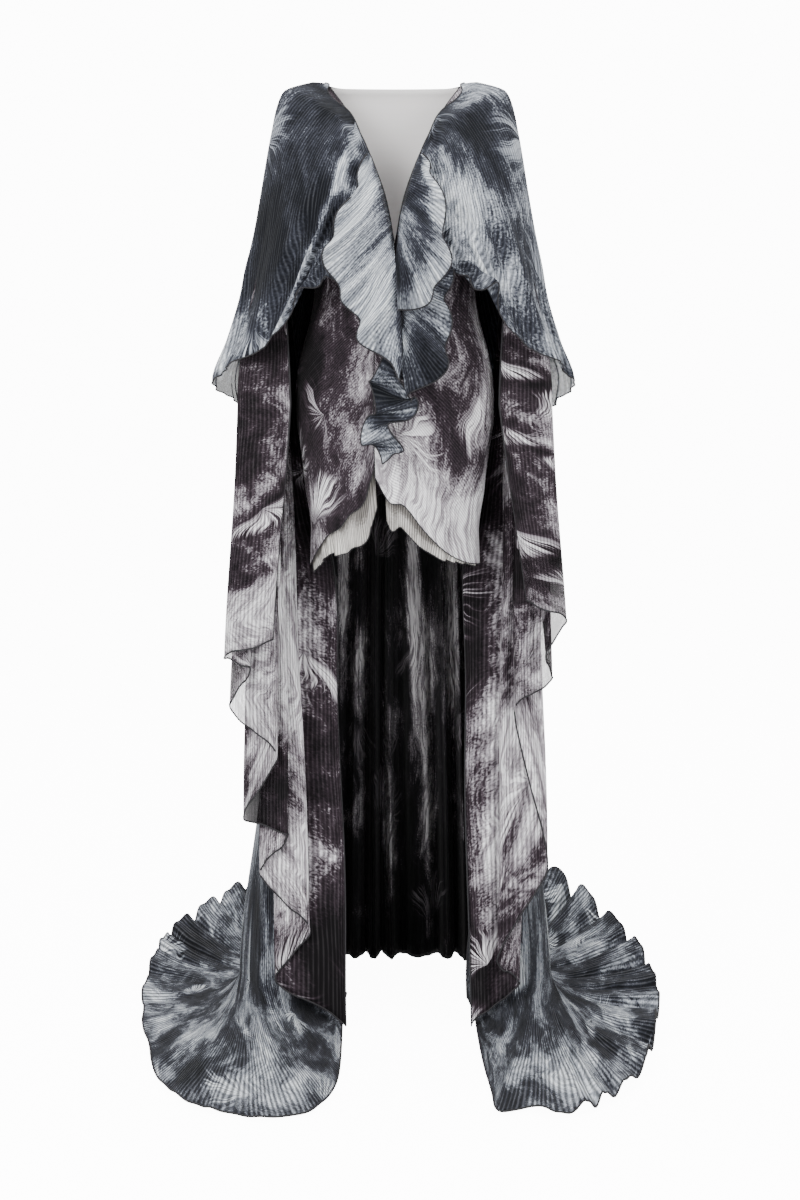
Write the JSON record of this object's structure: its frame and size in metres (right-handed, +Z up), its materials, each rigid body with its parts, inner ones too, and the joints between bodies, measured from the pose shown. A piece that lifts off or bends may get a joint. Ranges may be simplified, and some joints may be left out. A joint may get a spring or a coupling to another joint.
{
  "type": "maxi dress",
  "caption": "Floor-length crinkled chiffon evening dress, worn form and hollow, with a capelet, plunging neck, side drapes and a train.",
  "frame": {"origin": "between the shoulders, at the level of the neck points, where the wearer holds the dress up; the floor is 1.5 m below", "axes": "+Z up, -Y out of the front of the dress, +X to the right as seen from the front"},
  "size_m": [0.8545, 1.3295, 1.5003],
  "materials": {
    "slate_chiffon": "matte",
    "plum_chiffon": "matte",
    "dark_chiffon": "matte",
    "pale_chiffon": "matte",
    "nude_mesh": "matte"
  },
  "bodies": {
    "root": {"bodice_back": "nude_mesh", "dress_front_left": "plum_chiffon", "dress_front_right": "plum_chiffon", "dress_back": "plum_chiffon", "frill_left": "pale_chiffon", "frill_right": "pale_chiffon", "capelet_left": "slate_chiffon", "capelet_right": "slate_chiffon", "flounce_left": "slate_chiffon", "flounce_right": "slate_chiffon", "jabot_right": "slate_chiffon", "jabot_tail": "slate_chiffon", "side_drape_left": "plum_chiffon", "side_drape_right": "plum_chiffon", "back_panel": "dark_chiffon", "train_left": "slate_chiffon", "train_right": "slate_chiffon"}
  },
  "joints": []
}
